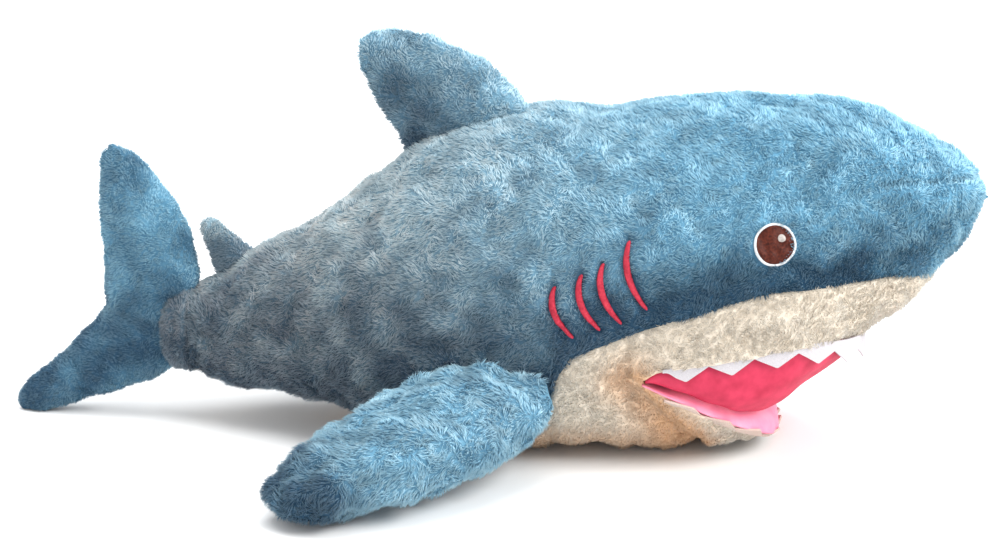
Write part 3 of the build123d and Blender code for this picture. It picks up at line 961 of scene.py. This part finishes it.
def make_side_fins():
    right = fin_grid(PECTORAL, 80, 110)
    for name, side in (("right", 1), ("left", -1)):
        pile = Pile(length=9.0, spacing=1.75, lean=0.78, clump=0.5, seed=80 + side, flow=(-0.77, -0.63 * side, -0.1))
        nodes = tuple(f"pectoral_fin_{name}_{part}" for part in ("upper", "lower", "filling"))
        # The pectoral fins carry painted shade that grows heavy towards the tip.
        make_fin(f"pectoral_fin_{name}", [right * (1, side, 1)], f"pectoral_fin_{name}", nodes, pile, 2.2,
                 off_trunk_and_floor, floor=1.0, paint=fin_tint(PECTORAL, 0.1, 0.0, 1.0), sink=4.0)


def stalk_rings():
    """The narrow end of the trunk, drawn in to a rounded end that is hidden between the tail's lobes."""
    depth = STALK_FRONT - STALK_BACK
    x = np.concatenate([STALK_BACK + depth * (1 - np.cos(np.linspace(0, math.pi / 2, 22))),
                        np.linspace(STALK_FRONT, STALK_INSIDE, 8)[1:]])
    angle = np.linspace(-math.pi, math.pi, 72, endpoint=False)
    rings = trunk_points(np.maximum(x, STALK_FRONT)[:, None], np.arcsin(np.sin(angle))[None, :],
                         np.where(np.cos(angle) > 0, 1, -1)[None, :])
    rings[..., 0] = x[:, None]
    centre = rings.mean(axis=1, keepdims=True)
    round_end = np.sqrt(np.clip(1 - ((STALK_FRONT - x) / depth) ** 2, 0.0004, 1)) ** 0.8
    inside = 1 - 0.4 * ease(x, -309, -294)
    rings = centre + (rings - centre) * np.where(x < STALK_FRONT, round_end, inside)[:, None, None]
    outward = unit(rings - rings.mean(axis=1, keepdims=True))
    return rings + outward * groove(x - STALK_SEAM, 3.0, 2.0)[:, None, None]


def make_tail():
    fur = Pile(length=4.5, spacing=1.6, lean=0.75, seed=90, flow=(-0.9, 0, 0.1))
    lobes = [fin_grid(TAIL_UPPER, 64, 80), fin_grid(TAIL_LOWER, 64, 80)]
    # The tail's lobes carry painted shade all over, heavier at the root.
    make_fin("tail_fin", lobes, "tail", ("tail_fin_left", "tail_fin_right", "tail_filling"), fur, 1.0,
             lambda points: points[:, 2] > 2.5, floor=1.0, paint=fin_tint(TAIL_UPPER, 0.42, 0.45, 0.1, 0.0), sink=2.0)
    make_fin("tail_stalk", [stalk_rings()], "stalk", (), Pile(length=5.0, spacing=1.5, seed=95), 0.6,
             lambda points: points[:, 0] < TRUNK_BACK + 1)


def dorsal_tint(points):
    """Painted shade where the trailing edge meets the back, leaving the top and the leading edge paler; random
    blotches; greyed all over.
    """
    x, z = points[..., 0], points[..., 2]
    low = 0.05 + 0.85 * ease(-z, -400, -335) * ease(-x, -40, 60)
    return 0.35 + 0 * low, np.clip(low + BLOTCH_DEPTH * BLOTCHES(points), 0, 1), 0 * low


def second_dorsal_tint(points):
    """Greyed, with painted shade over the lower fin that fades out towards a paler, greyer tip."""
    pale = ease(points[..., 2], 188, 214)
    return 0.65 + 0.2 * pale, 0.75 * (1 - pale), 0 * pale


# ---- teeth --------------------------------------------------------------------------------------
def mouth_path(line_height, first, last, inset, samples=400):
    """Points along a lip, corner to corner round the front, and the distance along it."""
    x = first + (last - first) * np.sin(np.linspace(0, math.pi / 2, samples))
    z = line_height(x)
    y = np.maximum(half_width_at(x, z) - inset, 0)
    right = np.stack([x, -y, z], -1)
    front = np.linspace(right[-1], right[-1] * (1, 0, 1), 30)[1:]
    front[:, 0] += 2 * np.sin(np.linspace(0, math.pi / 2, 29))
    right = np.concatenate([right, front])
    path = np.concatenate([right, right[::-1][1:] * (1, -1, 1)])
    steps = np.linalg.norm(np.diff(path, axis=0), axis=1)
    return path, np.concatenate([[0], np.cumsum(steps)])


def zigzag_strip(name, path, distance, teeth, apex, band, height, lean, material, thickness=2.0):
    """A felt strip along a path. Its free edge zigzags: band is how far the valleys lie from the path, at the
    corners and at the front, height how far the teeth reach on, and apex where in its pitch a tooth ends."""
    columns = teeth * 24 + 1
    place = np.linspace(0, distance[-1], columns)
    line = np.stack([np.interp(place, distance, path[:, i]) for i in range(3)], -1)
    tangent = unit(np.gradient(line, axis=0) * (1, 1, 0) + 1e-9)
    outward = np.stack([-tangent[:, 1], tangent[:, 0], np.zeros(columns)], -1)
    outward *= np.sign(np.sum(outward * (line - line.mean(0)), -1, keepdims=True))
    half = np.minimum(place, distance[-1] - place) / (distance[-1] / 2)
    phase = (half * teeth / 2) % 1
    tooth = np.where(phase < apex, phase / apex, (1 - phase) / (1 - apex))
    reach = (np.interp(half, *zip(*band)) + abs(height) * tooth) * ease(half, -0.01, 0.05)
    down = outward * math.sin(lean) + np.array([0, 0, math.copysign(math.cos(lean), height)])
    rows = [line + down * (-TOOTH_HIDDEN * (1 - share) + reach * share)[:, None] for share in np.linspace(0, 1, 7)]
    grid = np.stack(rows, 1)
    facing = unit(outward * math.cos(lean) - np.array([0, 0, math.copysign(math.sin(lean), height)]))
    normals = np.broadcast_to(facing[:, None, :], grid.shape)
    strip = make_object(name, *sheet_mesh(grid, normals, thickness), [material], smooth_faces=False)
    width = reach + TOOTH_HIDDEN
    return strip, distance[-1], float(np.sum(np.diff(place) * (width[1:] + width[:-1]) / 2))


def make_teeth():
    path, distance = mouth_path(lambda x: smooth(LIP, 1, x), 187, LIP_FRONT - 1, 3.0)
    upper, length, area = zigzag_strip("upper_teeth_felt", path, distance, 13, 0.52, UPPER_BAND, -12.5, 0.06,
                                       white_felt)
    finish_piece(upper, "trunk", "white_felt", ("upper_teeth",))
    path, distance = mouth_path(lambda x: rim_height(x) - 5.0, 190, 308.5, 2.0)
    lower, length, area = zigzag_strip("lower_teeth_felt", path, distance, 10, 0.72, LOWER_BAND, 8.5, 0.85,
                                       cream_felt)
    finish_piece(lower, "jaw", "cream_felt", ("lower_teeth",))


# ---- embroidery ---------------------------------------------------------------------------------
def on_trunk(x, z, side, stand):
    """Points of the trunk's relief at (x, z) on one side, standing out by stand."""
    step = 1.0

    def place(px, pz):
        return trunk_points(px, angle_at(px, pz), side)

    here = place(x, z)
    normal = unit(np.cross(place(x + step, z) - here, place(x, z + step) - here))
    normal *= np.sign(normal[..., 1:2]) * side
    return here + normal * (trunk_relief(here) - PILE_STAND + stand)[..., None], normal


def make_gills():
    for name, side in SIDES:
        vertices, faces, count = [], [], 0
        for x, z, height in GILLS:
            t = np.linspace(0, 1, 150)[:, None]
            across = np.linspace(-1, 1, 11)[None, :]
            line_x = x * (1 - t) ** 2 + 2 * (x - GILL_BOW) * t * (1 - t) + (x + GILL_LEAN) * t**2
            line_z = z - height * t
            width = GILL_WIDTH / 2 * (0.5 + 0.5 * np.sin(math.pi * t) ** 0.7)
            width = width * np.sqrt(np.clip(40 * t * (1 - t), 0, 1))
            px = line_x + across * width
            pz = line_z + across * width * 0.15
            stand = 2.4 * dome(across, 1) + 0.35 * np.abs(np.sin(t * height * 2.6 + across))
            grid, normal = on_trunk(px, pz, side, stand + 1.8)
            v, f = sheet_mesh(grid, normal, 3.5)
            vertices.append(v)
            faces += [list(q) for q in (f + count)]
            count += len(v)
        stripes = make_object(f"gill_stitching_{name}", np.concatenate(vertices), faces, [red_thread])
        finish_piece(stripes, "trunk", "red_thread", (f"gill_stripes_{name}",))


def disc_grid(centre, inner, outer, side, stand, ridges, rounds=120, rings=14):
    """Rings on the trunk round a centre (x, z), with fine thread ridges."""
    radius = np.linspace(inner, outer, rings)[None, :]
    angle = np.linspace(0, 2 * math.pi, rounds + 1)[:, None]
    px = centre[0] + radius * np.cos(angle)
    pz = centre[1] + radius * np.sin(angle)
    return on_trunk(px, pz, side, stand + ridges(radius, angle, px, pz))


def dome(radius, outer):
    return np.sqrt(np.maximum(1 - (radius / outer) ** 2, 0))


def make_eyes():
    parts = {"ring": [], "iris": [], "glint": []}
    for side in (1, -1):
        ring = disc_grid(EYE, EYE_IRIS_RADIUS - 1, EYE_RING_RADIUS, side, 1.2,
                         lambda r, a, x, z: 0.9 * np.sin(math.pi * (r - EYE_IRIS_RADIUS + 1) / 2.8)
                         + 0.25 * np.abs(np.sin(60 * a)))
        iris = disc_grid(EYE, 0.2, EYE_IRIS_RADIUS, side, 1.4,
                         lambda r, a, x, z: 1.1 * dome(r, EYE_IRIS_RADIUS)
                         + 0.3 * np.abs(np.sin(2.2 * (z + 0.35 * x))), rings=26)
        middle = (EYE[0] + EYE_GLINT_SHIFT[0], EYE[1] + EYE_GLINT_SHIFT[1])
        glint = disc_grid(middle, 0.1, EYE_GLINT_RADIUS, side, 2.6,
                          lambda r, a, x, z: 0.8 * dome(r, EYE_GLINT_RADIUS)
                          + 0.2 * np.abs(np.sin(2.6 * x)), rounds=48, rings=8)
        for part, (grid, normal) in zip(parts, (ring, iris, glint)):
            parts[part].append(sheet_mesh(grid, normal, 3.0))
    looks = {"ring": (white_thread, "white_thread", "eye_rings"),
             "iris": (brown_thread, "brown_thread", "eye_irises"),
             "glint": (glint_thread, "white_thread", "eye_glints")}
    for part, meshes in parts.items():
        material, slot, node = looks[part]
        vertices = np.concatenate([v for v, _ in meshes])
        faces = [list(q) for q in meshes[0][1]] + [list(q) for q in meshes[1][1] + len(meshes[0][0])]
        piece = make_object(f"eye_{part}_stitching", vertices, faces, [material])
        finish_piece(piece, "trunk", slot, (node,))


# ---- build --------------------------------------------------------------------------------------
make_back()
make_belly()
make_snout()
make_palate()
make_jaw()
make_top_fins()
make_side_fins()
make_tail()
make_teeth()
make_gills()
make_eyes()


# ---- stage, light and camera --------------------------------------------------------------------
FLOOR_REACH = 60000.0


def plain_material(name, colour):
    material, _, shader = principled(name, 0.9)
    shader.inputs["Base Color"].default_value = (*colour, 1)
    return material


def make_stage():
    corners = np.array([[(x, y, 0.0) for y in (-FLOOR_REACH, FLOOR_REACH)] for x in (-FLOOR_REACH, FLOOR_REACH)])
    paper = plain_material("floor_paper", (0.88, 0.88, 0.88))
    floor = make_object("floor", corners.reshape(-1, 3), grid_faces(2, 2), [paper])


def aim(obj, target):
    direction = np.array(target) - np.array(obj.location)
    obj.rotation_euler = Vector(direction).to_track_quat("-Z", "Y").to_euler()


def soft_light(name, direction, strength, spread, colour):
    """Even light from one side of a large studio, softened by its spread in degrees."""
    data = bpy.data.lights.new(name, "SUN")
    data.energy = strength
    data.angle = math.radians(spread)
    data.color = colour
    light = add_to_scene(name, data)
    light.location = direction
    aim(light, (0, 0, 0))


def make_lights():
    soft_light("key", (1.9, -0.75, 1.8), 2.8, 30, (1.0, 0.995, 0.98))
    soft_light("top", (-0.1, 0.25, 2.4), 2.3, 50, (0.97, 0.99, 1.0))
    world = bpy.data.worlds.new("studio")
    world.use_nodes = True
    background = world.node_tree.nodes["Background"]
    background.inputs["Color"].default_value = (1, 1, 1, 1)
    background.inputs["Strength"].default_value = 1.0
    bpy.context.scene.world = world
    bpy.context.scene.view_settings.view_transform = "Standard"


CAMERA_AZIMUTH, CAMERA_ELEVATION, CAMERA_DISTANCE = math.radians(5), math.radians(15.5), 1.6
CAMERA_TARGET = (0.020, 0.0, 0.160)
SENSOR_WIDTH = 36
LENS = SENSOR_WIDTH * 0.965 * CAMERA_DISTANCE    # the view is about 1.04 m wide at the target


def make_camera():
    data = bpy.data.cameras.new("camera")
    data.lens = LENS
    data.sensor_width = SENSOR_WIDTH
    camera = add_to_scene("camera", data)
    level = math.cos(CAMERA_ELEVATION)
    back = (math.sin(CAMERA_AZIMUTH) * level, -math.cos(CAMERA_AZIMUTH) * level, math.sin(CAMERA_ELEVATION))
    camera.location = [t + b * CAMERA_DISTANCE for t, b in zip(CAMERA_TARGET, back)]
    aim(camera, CAMERA_TARGET)
    bpy.context.scene.camera = camera


make_stage()
make_lights()
make_camera()
bpy.context.view_layer.update()
